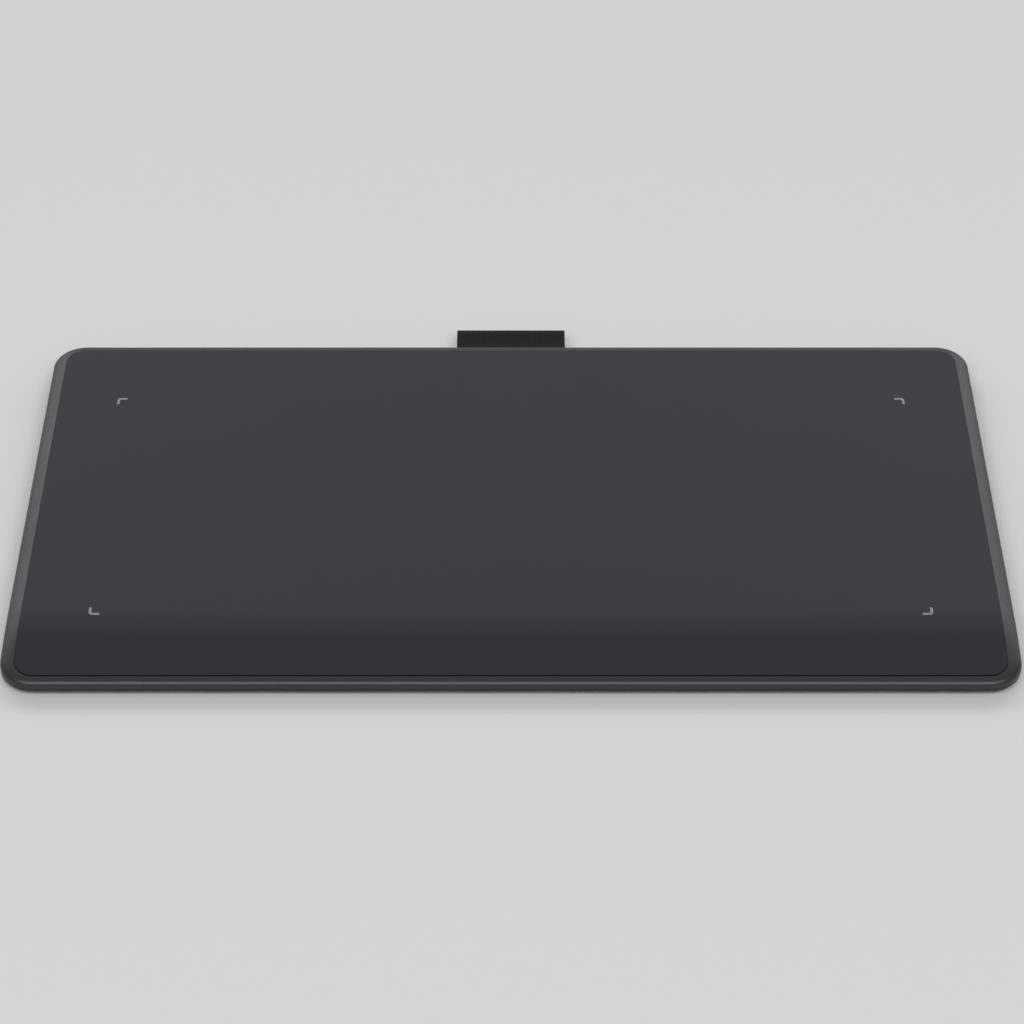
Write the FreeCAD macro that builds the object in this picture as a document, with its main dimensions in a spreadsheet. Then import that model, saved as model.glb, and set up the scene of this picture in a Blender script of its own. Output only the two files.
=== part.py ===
# Pen tablet: a thin slab with a bevelled rim, a drawing face that sweeps down to the front edge,
# and a folded ribbon tag behind the back edge.
# Millimetres. +Z is up and -Y is the user's edge. Every length below is measured from the middle of
# the slab; a finished piece is then set down in the part's frame, whose origin is the middle of the
# whole outline on the desk, tag included.
import FreeCAD, Part
import os
import re
import Sketcher
from math import atan, cos, pi, sin, tan
from FreeCAD import Vector

doc = FreeCAD.newDocument("pen_tablet")

# Driving sizes
SIZES = [
    ("body_width", 300, "slab, left to right"),
    ("body_depth", 160, "slab, front to back"),
    ("corner_radius", 10.2, "slab corners seen from above"),
    ("edge_height", 7.2, "outer edge of the rim above the desk, at the back and sides"),
    ("edge_drop", 2.1, "how far that edge has come down at the front"),
    ("face_rise", 1.4, "drawing face above the outer edge, at the back and sides"),
    ("face_drop", 2.8, "how far the face has come down at its front end"),
    ("rim_width", 3.7, "bevelled rim between the edge and the face"),
    ("rim_blend", 0.65, "half the width of the soft turn from the rim to the face"),
    ("crease_inset", 2.7, "inner side of the front lip, from the front edge"),
    ("crease_gap", 0.4, "between the sheet and the lip, seen as the dark crease"),
    ("lip_bevel", 0.15, "small bevel on the lip's inner edge"),
    ("lip_slope", 0.2, "rise of the lip for each millimetre inwards"),
    ("rim_round", 1.95, "rounding of the outer edge"),
    ("sweep_start", 30, "front edge to where the face begins to fall"),
    ("sweep_bend", 16, "length of the rounded part of the fall"),
    ("sheet_thickness", 0.4, "textured drawing sheet"),
    ("sheet_gap", 0.06, "between the sheet and its recess"),
    ("deck_thickness", 1.5, "upper shell under the sheet"),
    ("wall_thickness", 1.6, "side walls of both shells"),
    ("seam_height", 3.0, "parting line above the desk"),
    ("seam_groove", 0.15, "bevel along the parting line of the upper shell"),
    ("tongue_height", 1.0, "tongue of the lower shell above the parting line"),
    ("tongue_thickness", 0.65, "tongue of the lower shell"),
    ("joint_gap", 0.1, "clearance in the tongue joint"),
    ("foot_reach", 0.8, "feet below the underside"),
    ("floor_thickness", 1.2, "floor of the lower shell"),
    ("belly_width", 8, "shallow bevel round the underside"),
    ("belly_rise", 0.5, "height of that bevel"),
    ("belly_round", 1.7, "rounding between the bevel and the wall"),
    ("area_side", 23, "working area from the sides of the slab"),
    ("area_front", 25, "working area from the front edge"),
    ("area_back", 30, "working area from the back edge"),
    ("sensor_margin", 5, "sensor board beyond the working area"),
    ("sensor_gap", 0.3, "around the sensor board in its pocket"),
    ("tape_thickness", 0.1, "adhesive sheets"),
    ("sensor_thickness", 0.8, "sensor board"),
    ("shield_thickness", 0.2, "metal shield behind the sensor board"),
    ("shield_margin", 3, "shield inside the sensor board's outline"),
    ("screw_diameter", 2, "case screws"),
    ("screw_head", 3.6, "diameter of their heads"),
    ("head_height", 1, "height of their heads"),
    ("screw_clearance", 0.15, "around shanks and heads, on the radius"),
    ("boss_diameter", 5, "screw bosses of both shells"),
    ("boss_meeting", 3.2, "height above the desk where the bosses meet"),
    ("screw_seat", 2, "height above the desk of the face under a screw head"),
    ("long_shank", 4.8, "shank of the back and side screws"),
    ("short_shank", 3.2, "shank of the front screws"),
    ("screw_inset", 10.5, "corner and side screws from the slab's outline"),
    ("front_row", 13, "front screws from the front edge"),
    ("middle_screws", 34, "middle screws from the centre line"),
    ("foot_length", 44, "rubber feet"),
    ("foot_width", 9, "rubber feet"),
    ("foot_recess", 0.4, "depth of their recesses"),
    ("foot_side", 52, "centres of the feet from the sides of the slab"),
    ("foot_end", 18, "centres of the feet from the front and back edges"),
    ("foot_gap", 0.1, "around each foot in its recess"),
    ("rib_thickness", 1.2, "ribs of the lower shell"),
    ("rib_pitch", 30, "between the ribs beside the battery"),
    ("board_depth", 15, "main board"),
    ("board_thickness", 0.8, "main board"),
    ("board_side", 28, "left end of the main board from the left side of the slab"),
    ("board_setback", 2.9, "main board from the outside of the back wall"),
    ("board_height", 2.9, "underside of the main board above the desk"),
    ("board_head", 3, "diameter of their heads"),
    ("board_screw", 1.6, "diameter of the board and clamp screws"),
    ("post_diameter", 4.2, "posts under the main board and the tag clamp"),
    ("socket_along", 18, "socket from the board's left end"),
    ("socket_height", 4.4, "middle of the socket above the desk"),
    ("socket_width", 8.94, "outside of the socket's metal shell"),
    ("socket_tall", 3.26, "outside of the socket's metal shell"),
    ("socket_length", 7.3, "depth of the metal shell"),
    ("socket_metal", 0.3, "thickness of the metal shell"),
    ("socket_setback", 0.5, "mouth behind the outside of the wall"),
    ("socket_gap", 0.2, "around the socket in the wall"),
    ("control_height", 4.6, "middle of the button, light and tag above the desk"),
    ("button_along", 58, "button from the board's left end"),
    ("button_width", 8, "button cap"),
    ("button_tall", 2.2, "button cap"),
    ("button_proud", 0.4, "cap outside the wall"),
    ("button_gap", 0.12, "around the cap in the wall"),
    ("button_flange", 0.8, "flange round the cap behind the wall"),
    ("flange_thickness", 0.6, "flange behind the wall"),
    ("button_travel", 0.25, "travel of the button and the switch"),
    ("plunger_reach", 0.8, "plunger in front of the switch"),
    ("plunger_width", 1.8, "plunger"),
    ("plunger_tall", 0.9, "plunger"),
    ("switch_width", 4.5, "tactile switch"),
    ("switch_length", 3.2, "tactile switch, front to back"),
    ("switch_tall", 1.8, "tactile switch"),
    ("light_along", 46, "status light from the board's left end"),
    ("light_diameter", 1.5, "light guide"),
    ("light_gap", 0.08, "around the light guide in the wall"),
    ("battery_width", 76, "battery pouch"),
    ("battery_depth", 46, "battery pouch"),
    ("battery_thickness", 3, "battery pouch"),
    ("battery_shift", 16, "middle of the battery behind the middle of the slab"),
    ("lead_diameter", 1, "battery leads"),
    ("ribbon_width", 10, "ribbon cable"),
    ("ribbon_thickness", 0.3, "ribbon cable"),
    ("part_gap", 1.4, "between neighbours on the board"),
    ("module_width", 12, "radio module"),
    ("connector_tall", 1.2, "ribbon connectors"),
    ("connector_depth", 3, "ribbon connectors"),
    ("tag_width", 36, "ribbon tag"),
    ("tag_reach", 12, "tag beyond the back edge"),
    ("tag_thickness", 1.5, "two layers of ribbon"),
    ("tag_gap", 0.2, "around the tag in its slot"),
    ("tag_grip", 6, "length of the tag under the clamp"),
    ("clamp_thickness", 0.8, "clamp bar"),
]
sheet = doc.addObject("Spreadsheet::Sheet", "sizes")
for row, (name, size, meaning) in enumerate(SIZES, 1):
    sheet.set("A%d" % row, name)
    sheet.set("B%d" % row, str(size))
    sheet.set("C%d" % row, meaning)
    sheet.setAlias("B%d" % row, name)
doc.recompute()
NAMES = {name for name, size, meaning in SIZES}
PIECES = []


def formula(text):
    """A sum of size names as an expression that reads the sheet."""
    return re.sub(r"[a-z_]+", lambda m: "sizes." + m.group() if m.group() in NAMES else m.group(), text)


def bind(thing, place, text):
    """Ties one size of a feature to the sheet."""
    thing.setExpression(place, formula(text))


def value(text):
    """The same sum as a number, for a first guess or for a piece shaped in code."""
    found = sheet.evalExpression(formula(text))
    return float(getattr(found, "Value", found))


def finish(piece, label):
    """Names a finished piece and sets it down in the part's frame."""
    piece.Label = label
    bind(piece, "Placement.Base.y", "-tag_reach/2")
    PIECES.append(piece)
    return piece


# Sketches: each shape is centred on its own sketch, which is moved to its place
def new_body(name):
    return doc.addObject("PartDesign::Body", name + "_body")


def sketch_on(body, plane="XY_Plane", x="0", y="0", z="0"):
    """A sketch level with one of the body's origin planes, moved by x, y and z.

    On XZ_Plane the sketch's y is the height and its z points to the front."""
    sketch = body.newObject("Sketcher::SketchObject", "sketch")
    base = [f for f in body.Origin.OriginFeatures if f.Role == plane][0]
    sketch.AttachmentSupport = [(base, "")]
    sketch.MapMode = "FlatFace"
    for axis, text in zip("xyz", (x, y, z)):
        bind(sketch, "AttachmentOffset.Base." + axis, text)
    return sketch


def measure(sketch, kind, where, text):
    """One dimension, tied to the sheet."""
    index = sketch.addConstraint(Sketcher.Constraint(kind, *where, value(text)))
    bind(sketch, "Constraints[%d]" % index, text)


def draw_rounded(sketch, width, depth, radius, x="0", y="0"):
    """A rectangle with round corners."""
    w, d, r = value(width) / 2, value(depth) / 2, value(radius)
    cx, cy = value(x), value(y)
    sides = [((w - r, d), (r - w, d)), ((-w, d - r), (-w, r - d)),
             ((r - w, -d), (w - r, -d)), ((w, r - d), (w, d - r))]
    centres = [(r - w, d - r), (r - w, r - d), (w - r, r - d), (w - r, d - r)]
    first = sketch.GeometryCount
    for i, (start, end) in enumerate(sides):
        sketch.addGeometry(Part.LineSegment(Vector(cx + start[0], cy + start[1], 0),
                                            Vector(cx + end[0], cy + end[1], 0)))
        turn = pi / 2 * (i + 1)
        circle = Part.Circle(Vector(cx + centres[i][0], cy + centres[i][1], 0), Vector(0, 0, 1), r)
        sketch.addGeometry(Part.ArcOfCircle(circle, turn, turn + pi / 2))
    lines, arcs = [first, first + 2, first + 4, first + 6], [first + 1, first + 3, first + 5, first + 7]
    for i in range(4):
        sketch.addConstraint(Sketcher.Constraint("Tangent", lines[i], 2, arcs[i], 1))
        sketch.addConstraint(Sketcher.Constraint("Tangent", arcs[i], 2, lines[(i + 1) % 4], 1))
        sketch.addConstraint(Sketcher.Constraint("Horizontal" if i % 2 == 0 else "Vertical", lines[i]))
    for other in arcs[1:]:
        sketch.addConstraint(Sketcher.Constraint("Equal", arcs[0], other))
    measure(sketch, "Radius", (arcs[0],), radius)
    measure(sketch, "DistanceY", (-1, 1, lines[0], 1), "%s + (%s)/2" % (y, depth))
    measure(sketch, "DistanceY", (-1, 1, lines[2], 1), "%s - (%s)/2" % (y, depth))
    measure(sketch, "DistanceX", (-1, 1, lines[1], 1), "%s - (%s)/2" % (x, width))
    measure(sketch, "DistanceX", (-1, 1, lines[3], 1), "%s + (%s)/2" % (x, width))


def draw_box(sketch, width, depth, x="0", y="0"):
    """A rectangle with square corners."""
    w, d = value(width) / 2, value(depth) / 2
    cx, cy = value(x), value(y)
    points = [Vector(cx + w, cy + d, 0), Vector(cx - w, cy + d, 0), Vector(cx - w, cy - d, 0),
              Vector(cx + w, cy - d, 0)]
    first = sketch.GeometryCount
    for i in range(4):
        sketch.addGeometry(Part.LineSegment(points[i], points[(i + 1) % 4]))
    for i in range(4):
        sketch.addConstraint(Sketcher.Constraint("Coincident", first + i, 2, first + (i + 1) % 4, 1))
        sketch.addConstraint(Sketcher.Constraint("Horizontal" if i % 2 == 0 else "Vertical", first + i))
    measure(sketch, "DistanceY", (-1, 1, first, 1), "%s + (%s)/2" % (y, depth))
    measure(sketch, "DistanceY", (-1, 1, first + 2, 1), "%s - (%s)/2" % (y, depth))
    measure(sketch, "DistanceX", (-1, 1, first + 1, 1), "%s - (%s)/2" % (x, width))
    measure(sketch, "DistanceX", (-1, 1, first, 1), "%s + (%s)/2" % (x, width))


def draw_circles(sketch, places, diameter):
    """Equal circles at several places."""
    for x, y in places:
        spot = sketch.addGeometry(Part.Circle(Vector(value(x), value(y), 0), Vector(0, 0, 1),
                                              value(diameter) / 2))
        measure(sketch, "Diameter", (spot,), diameter)
        measure(sketch, "DistanceX", (-1, 1, spot, 3), x)
        measure(sketch, "DistanceY", (-1, 1, spot, 3), y)


def pad(body, sketch, length, down=False):
    """Adds material from the sketch along its normal."""
    feature = body.newObject("PartDesign::Pad", "pad")
    feature.Profile = sketch
    bind(feature, "Length", length)
    feature.Reversed = down
    doc.recompute()
    return feature


def pocket(body, sketch, length, up=False):
    """Removes material from the sketch against its normal."""
    feature = body.newObject("PartDesign::Pocket", "pocket")
    feature.Profile = sketch
    bind(feature, "Length", length)
    feature.Reversed = up
    before = body.Shape.Volume
    doc.recompute()
    if not body.Shape.Volume < before:
        raise RuntimeError("a pocket of %s cuts nothing" % body.Name)
    return feature


def edges_where(shape, test):
    """Names of a shape's edges whose middle and direction pass a test."""
    found = []
    for i, edge in enumerate(shape.Edges, 1):
        middle = (edge.FirstParameter + edge.LastParameter) / 2
        if test(edge.valueAt(middle), edge.tangentAt(middle)):
            found.append("Edge%d" % i)
    return found


def bevel_off(body, size, test):
    """Bevels the edges of the body's last feature that pass a test."""
    last = body.Tip
    feature = body.newObject("PartDesign::Chamfer", "bevel")
    feature.Base = (last, edges_where(last.Shape, test))
    bind(feature, "Size", size)
    doc.recompute()
    return feature


def round_off(body, radius, test):
    """Rounds the edges of the body's last feature that pass a test."""
    last = body.Tip
    feature = body.newObject("PartDesign::Fillet", "rounding")
    feature.Base = (last, edges_where(last.Shape, test))
    bind(feature, "Radius", radius)
    doc.recompute()
    return feature


def plate(label, width, depth, radius, thickness, x, y, z):
    """A flat piece with round corners, lying level at height z."""
    body = new_body(label)
    sketch = sketch_on(body, x=x, y=y, z=z)
    draw_rounded(sketch, width, depth, radius)
    pad(body, sketch, thickness)
    return body


# The swept face. One profile gives the face, the sheet, the deck below it and the outer edge:
# level from the back to the start of the sweep, then a bend, then a straight slope.
def sweep(top, drop, front):
    """Heights of a profile at height top that has dropped by drop at y = front.

    Returns the y where the fall starts, the y where the bend ends, and the slope's angle."""
    start = value("sweep_start - body_depth/2")
    bend = value("sweep_bend")
    run = start - bend - front
    half = drop / (bend + 2 * run)
    for step in range(12):
        half = drop / (bend + 2 * run / (1 - half * half))
    return start, start - bend, 2 * atan(half)


class Profile:
    """A swept level: its height at any y, and its bend's middle."""

    def __init__(self, top, drop, front):
        self.top = top
        self.start, self.end, self.angle = sweep(top, drop, front)
        self.radius = (self.start - self.end) / sin(self.angle)

    def height(self, y):
        if y >= self.start:
            return self.top
        if y >= self.end:
            across = self.start - y
            return self.top - self.radius + (self.radius ** 2 - across ** 2) ** 0.5
        foot = self.top - self.radius * (1 - cos(self.angle))
        return foot - (self.end - y) * tan(self.angle)

    def lowered(self, amount):
        other = Profile.__new__(Profile)
        other.__dict__.update(self.__dict__)
        other.top = self.top - amount
        return other

    def bend(self, x, backwards):
        """The bend as an edge at one x; backwards it runs from its foot to its start."""
        across = self.radius * sin(self.angle / 2)
        middle = Vector(x, self.start - across, self.top - self.radius * (1 - cos(self.angle / 2)))
        ends = [Vector(x, self.start, self.top), Vector(x, self.end, self.height(self.end))]
        if backwards:
            ends.reverse()
        return Part.Arc(ends[0], middle, ends[1]).toShape()


def face_profile():
    """The drawing face itself."""
    return Profile(value("edge_height + face_rise"), value("face_drop"),
                   value("rim_width - body_depth/2"))


def edge_profile():
    """The outer edge of the rim."""
    return Profile(value("edge_height"), value("edge_drop"), value("-body_depth/2"))


def ring(inset, profile, crease=0.0):
    """The slab's outline drawn in by inset and laid on a profile: twelve edges, anticlockwise.

    With a crease the front edge stands that much further in."""
    across = value("body_width/2") - inset
    along = value("body_depth/2") - inset
    front = along - crease
    radius = value("corner_radius") - inset
    x, y, turn = across - radius, along - radius, front - radius

    def at(px, py):
        return Vector(px, py, profile.height(py))

    def line(a, b):
        return Part.LineSegment(a, b).toShape()

    def quarter(start, corner, end):
        curve = Part.BezierCurve()
        curve.setPoles([start, corner, end])
        curve.setWeight(2, cos(pi / 4))
        return curve.toShape()

    def back_corner(start, side, end):
        middle = at(side * (x + radius * cos(pi / 4)), y + radius * cos(pi / 4))
        return Part.Arc(start, middle, end).toShape()

    fall = profile.height(-turn) - (front - turn) * tan(profile.angle)
    return [line(at(x, along), at(-x, along)),
            back_corner(at(-x, along), -1, at(-across, y)),
            line(at(-across, y), at(-across, profile.start)),
            profile.bend(-across, False),
            line(at(-across, profile.end), at(-across, -turn)),
            quarter(at(-across, -turn), Vector(-across, -front, fall), at(-x, -front)),
            line(at(-x, -front), at(x, -front)),
            quarter(at(x, -front), Vector(across, -front, fall), at(across, -turn)),
            line(at(across, -turn), at(across, profile.end)),
            profile.bend(across, True),
            line(at(across, profile.start), at(across, y)),
            back_corner(at(across, y), 1, at(x, along))]


class Level:
    """A level plane with the breaks of a profile, for the foot of a wall."""

    def __init__(self, profile, height):
        self.start, self.end, self.angle, self.top = profile.start, profile.end, 0.0, height

    def height(self, y):
        return self.top

    def bend(self, x, backwards):
        ends = [Vector(x, self.start, self.top), Vector(x, self.end, self.top)]
        if backwards:
            ends.reverse()
        return Part.LineSegment(ends[0], ends[1]).toShape()


def between(upper, lower):
    """Faces that join two rings edge by edge."""
    return [Part.makeRuledSurface(a, b) for a, b in zip(upper, lower)]


def lid(edges):
    """The face inside a ring: level part, bend and slope."""
    def corner(i, end):
        return edges[i].valueAt(edges[i].LastParameter if end else edges[i].FirstParameter)
    back_cut = Part.LineSegment(corner(3, False), corner(9, True)).toShape()
    front_cut = Part.LineSegment(corner(3, True), corner(9, False)).toShape()
    level = Part.Face(Part.Wire(Part.__sortEdges__([edges[i] for i in (10, 11, 0, 1, 2)] + [back_cut])))
    bent = Part.makeRuledSurface(edges[3], edges[9])
    slope = Part.Face(Part.Wire(Part.__sortEdges__([edges[i] for i in (4, 5, 6, 7, 8)] + [front_cut])))
    return [level, bent, slope]


def closed(faces):
    """A solid from faces that meet edge to edge."""
    shell = Part.makeShell([part for face in faces for part in face.Faces])
    shell.sewShape()
    if shell.ShapeType != "Shell":
        shell = shell.Shells[0]
    solid = Part.makeSolid(shell)
    solid.fixTolerance(1e-4)
    return solid.removeSplitter()


def swept_block(upper, level):
    """Everything between a ring laid on a profile and the same ring on a level plane."""
    solid = closed(lid(upper) + between(upper, level) + lid(level))
    return solid if solid.Volume > 0 else solid.reversed()


def rim_line(inset, front_inset):
    """A line round the rim's bevel, which is flatter at the front, where it is the lip."""
    top = value("edge_height + face_rise/rim_width * %f" % inset)
    end = value("edge_height - edge_drop + lip_slope * %f" % front_inset)
    profile = Profile(top, top - end, front_inset - value("body_depth/2"))
    return ring(inset, profile, front_inset - inset)


def face_edge(profile, gap=0.0, crease_gap=0.0):
    """The edge of the face, drawn in by a gap all round and by another at the crease."""
    inset = value("rim_width + rim_blend")
    return ring(inset + gap, profile, value("crease_inset") - inset + crease_gap)


def rimmed_slab(bottom):
    """The upper shell's outside: face, soft turn, bevelled rim that twists with the sweep, walls."""
    inner = face_edge(face_profile())
    turn = rim_line(value("rim_width - rim_blend"), value("crease_inset - lip_bevel"))
    outer = rim_line(0.0, 0.0)
    bevel = value("seam_groove")
    wall_foot = ring(0.0, Level(edge_profile(), bottom + bevel))
    base = ring(bevel, Level(edge_profile(), bottom))
    rings = [inner, turn, outer, wall_foot, base]
    faces = lid(inner) + lid(base)
    for upper, lower in zip(rings, rings[1:]):
        faces += between(upper, lower)
    solid = closed(faces)
    outline = Part.makeCompound(outer)
    rim = []
    for candidate in solid.Edges:
        middle = candidate.valueAt((candidate.FirstParameter + candidate.LastParameter) / 2)
        ends = [vertex for vertex in candidate.Vertexes if vertex.distToShape(outline)[0] < 0.01]
        if len(ends) == 2 and Part.Vertex(middle).distToShape(outline)[0] < 0.01:
            rim.append(candidate)
    return solid.makeFillet(value("rim_round"), rim)


# Places that several pieces share
BACK_ROW = "body_depth/2 - screw_inset"
FRONT_ROW = "front_row - body_depth/2"
SIDE_ROW = "body_width/2 - screw_inset"
LONG_SCREWS = [("%s%s" % (side, "(" + SIDE_ROW + ")"), BACK_ROW) for side in ("-", "")]
LONG_SCREWS += [("-middle_screws", BACK_ROW), ("middle_screws", BACK_ROW)]
SHORT_SCREWS = [("%s%s" % (side, "(" + SIDE_ROW + ")"), FRONT_ROW) for side in ("-", "")]
SHORT_SCREWS += [("-middle_screws*1.4", FRONT_ROW), ("middle_screws*1.4", FRONT_ROW)]
DECK_UNDER = "edge_height + face_rise - sheet_thickness - deck_thickness"
FLOOR_TOP = "foot_reach + floor_thickness"
AREA_SHIFT = "(area_front - area_back)/2"
SENSOR_WIDTH = "body_width - 2*area_side + 2*sensor_margin"
SENSOR_DEPTH = "body_depth - area_front - area_back + 2*sensor_margin"
SENSOR_TOP = DECK_UNDER + " - tape_thickness"
SHIELD_UNDER = SENSOR_TOP + " - sensor_thickness - shield_thickness"
WALL_INSIDE = "body_depth/2 - wall_thickness"
BOARD_TOP = "board_height + board_thickness"
BOARD_LEFT = "board_side - body_width/2"
SOCKET_X = BOARD_LEFT + " + socket_along"
LIGHT_X = BOARD_LEFT + " + light_along"
BUTTON_X = BOARD_LEFT + " + button_along"
MODULE_X = LIGHT_X + " + 1.1 + part_gap + module_width/2"
RIBBON_X = MODULE_X + " + module_width/2 + part_gap + ribbon_width/2 + 1.5"
HEADER_X = RIBBON_X + " + ribbon_width/2 + 1.5 + part_gap + 2.8"
BOARD_WIDTH = HEADER_X + " + 3.9 - (%s)" % BOARD_LEFT
BOARD_BACK = "body_depth/2 - board_setback"
BOARD_SCREWS = [(BOARD_LEFT + " + 3", BOARD_BACK + " - 3"),
                (LIGHT_X + " - 3.5", BOARD_BACK + " - board_depth + 3.4"),
                (HEADER_X + " + 0.1", BOARD_BACK + " - 3.5")]
TAG_UNDER = "control_height - tag_thickness/2"
GRIP_MIDDLE = WALL_INSIDE + " - 1 - tag_grip/2"
CLAMP_SCREWS = [("-(tag_width/2 + 3.4)", GRIP_MIDDLE), ("tag_width/2 + 3.4", GRIP_MIDDLE)]
BEHIND_WALL = "-(%s - 1.5)" % WALL_INSIDE


def make_top_case():
    """Upper shell: swept slab, recess for the sheet, cavity, pocket for the sensor board."""
    face = face_profile()
    recess_floor = face.lowered(value("sheet_thickness"))
    deck_floor = recess_floor.lowered(value("deck_thickness"))
    seam = value("seam_height")
    shape = rimmed_slab(seam)
    above = swept_block(face_edge(recess_floor), face_edge(Level(face, face.top + 1.0)))
    shape = shape.cut(above)
    inset = value("wall_thickness")
    room = swept_block(ring(inset, deck_floor), ring(inset, Level(face, 0.0)))
    shape = shape.cut(room.common(Part.makeBox(1000, 1000, 50, Vector(-500, -500, seam - 1))))
    form = doc.addObject("Part::Feature", "swept_form")
    form.Shape = shape
    body = new_body("top_case")
    body.BaseFeature = form
    doc.recompute()

    sketch = sketch_on(body, y=AREA_SHIFT, z=DECK_UNDER)
    draw_rounded(sketch, SENSOR_WIDTH + " + 2*sensor_gap", SENSOR_DEPTH + " + 2*sensor_gap", "sensor_gap + 1")
    pocket(body, sketch, DECK_UNDER + " - boss_meeting")

    sketch = sketch_on(body, z="seam_height")
    inset = "wall_thickness - tongue_thickness - joint_gap"
    draw_rounded(sketch, "body_width - 2*(%s)" % inset, "body_depth - 2*(%s)" % inset,
                 "corner_radius - (%s)" % inset)
    inset = "wall_thickness + joint_gap"
    draw_rounded(sketch, "body_width - 2*(%s)" % inset, "body_depth - 2*(%s)" % inset,
                 "corner_radius - (%s)" % inset)
    pocket(body, sketch, "tongue_height + joint_gap", up=True)

    for places, shank in ((LONG_SCREWS, "long_shank"), (SHORT_SCREWS, "short_shank")):
        root = face.height(value(places[0][1])) - value("sheet_thickness + deck_thickness/2")
        sketch = sketch_on(body, z="boss_meeting")
        draw_circles(sketch, places, "boss_diameter")
        pad(body, sketch, "%.4f - boss_meeting" % root)
        sketch = sketch_on(body, z="boss_meeting")
        draw_circles(sketch, places, "screw_diameter + screw_clearance/2")
        pocket(body, sketch, "screw_seat + %s + 0.3 - boss_meeting" % shank, up=True)

    cut_back_wall(body)
    return finish(body, "top_case")


def cut_back_wall(body):
    """Holes through the back wall for the socket, the button, the light and the tag."""
    sketch = sketch_on(body, "XZ_Plane", SOCKET_X, "socket_height", BEHIND_WALL)
    draw_rounded(sketch, "socket_width + 2*socket_gap", "socket_tall + 2*socket_gap",
                 "socket_tall/2 + socket_gap - 0.01")
    pocket(body, sketch, "wall_thickness + 3")
    sketch = sketch_on(body, "XZ_Plane", BUTTON_X, "control_height", BEHIND_WALL)
    draw_rounded(sketch, "button_width + 2*button_gap", "button_tall + 2*button_gap",
                 "button_tall/2 + button_gap - 0.01")
    pocket(body, sketch, "wall_thickness + 3")
    sketch = sketch_on(body, "XZ_Plane", LIGHT_X, "control_height", BEHIND_WALL)
    draw_circles(sketch, [("0", "0")], "light_diameter + 2*light_gap")
    pocket(body, sketch, "wall_thickness + 3")
    sketch = sketch_on(body, "XZ_Plane", "0", "control_height", BEHIND_WALL)
    draw_rounded(sketch, "tag_width + 2*tag_gap", "tag_thickness + 2*tag_gap", "tag_gap + 0.3")
    pocket(body, sketch, "wall_thickness + 3")


def make_bottom_case():
    """Lower shell: dished underside, tongue, ribs, bosses, posts and recesses for the feet."""
    body = new_body("bottom_case")
    sketch = sketch_on(body, z="foot_reach")
    draw_rounded(sketch, "body_width", "body_depth", "corner_radius")
    pad(body, sketch, "seam_height - foot_reach")
    underside = value("foot_reach")
    bevel = body.newObject("PartDesign::Chamfer", "belly")
    last = body.Tip if body.Tip != bevel else bevel.BaseFeature
    bevel.Base = (last, edges_where(last.Shape, lambda p, t: abs(p.z - underside) < 1e-6))
    bevel.ChamferType = "Two distances"
    bind(bevel, "Size", "belly_rise")
    bind(bevel, "Size2", "belly_width")
    doc.recompute()
    if body.Shape.BoundBox.ZLength < value("seam_height - foot_reach") - 0.01 or not belly_is_wide(body):
        bevel.FlipDirection = True
        doc.recompute()
    height = value("foot_reach + belly_rise")
    round_off(body, "belly_round", lambda p, t: abs(p.z - height) < 1e-4)

    sketch = sketch_on(body, z="seam_height")
    draw_rounded(sketch, "body_width - 2*wall_thickness", "body_depth - 2*wall_thickness",
                 "corner_radius - wall_thickness")
    pocket(body, sketch, "seam_height - (%s)" % FLOOR_TOP)

    sketch = sketch_on(body, z=FLOOR_TOP)
    inset = "wall_thickness - tongue_thickness"
    draw_rounded(sketch, "body_width - 2*(%s)" % inset, "body_depth - 2*(%s)" % inset,
                 "corner_radius - (%s)" % inset)
    draw_rounded(sketch, "body_width - 2*wall_thickness", "body_depth - 2*wall_thickness",
                 "corner_radius - wall_thickness")
    pad(body, sketch, "seam_height + tongue_height - (%s)" % FLOOR_TOP)

    add_ribs(body)
    sketch = sketch_on(body, z="foot_reach + floor_thickness/2")
    draw_circles(sketch, LONG_SCREWS + SHORT_SCREWS, "boss_diameter + 1.4")
    pad(body, sketch, "boss_meeting - foot_reach - floor_thickness/2")
    sketch = sketch_on(body, z="foot_reach")
    draw_circles(sketch, LONG_SCREWS + SHORT_SCREWS, "screw_head + 2*screw_clearance")
    pocket(body, sketch, "screw_seat - foot_reach", up=True)
    sketch = sketch_on(body, z="screw_seat")
    draw_circles(sketch, LONG_SCREWS + SHORT_SCREWS, "screw_diameter + 2*screw_clearance")
    pocket(body, sketch, "boss_meeting - screw_seat + 0.1", up=True)

    sketch = sketch_on(body, z=FLOOR_TOP)
    draw_circles(sketch, BOARD_SCREWS, "post_diameter")
    pad(body, sketch, "board_height - (%s)" % FLOOR_TOP)
    sketch = sketch_on(body, z=FLOOR_TOP)
    draw_circles(sketch, CLAMP_SCREWS, "post_diameter")
    pad(body, sketch, TAG_UNDER + " - (%s) + tag_thickness" % FLOOR_TOP)
    sketch = sketch_on(body, y=GRIP_MIDDLE, z=FLOOR_TOP)
    draw_box(sketch, "tag_width", "tag_grip")
    pad(body, sketch, TAG_UNDER + " - (%s)" % FLOOR_TOP)
    sketch = sketch_on(body, z="foot_reach + floor_thickness - 0.4")
    draw_circles(sketch, BOARD_SCREWS + CLAMP_SCREWS, "board_screw + screw_clearance/2")
    pocket(body, sketch, "control_height", up=True)

    sketch = sketch_on(body, z="foot_reach")
    for x in ("foot_side - body_width/2", "body_width/2 - foot_side"):
        for y in ("foot_end - body_depth/2", "body_depth/2 - foot_end"):
            draw_rounded(sketch, "foot_length + 2*foot_gap", "foot_width + 2*foot_gap",
                         "foot_width/2 + foot_gap - 0.01", x, y)
    pocket(body, sketch, "foot_recess", up=True)
    cut_back_wall(body)
    return finish(body, "bottom_case")


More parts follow.
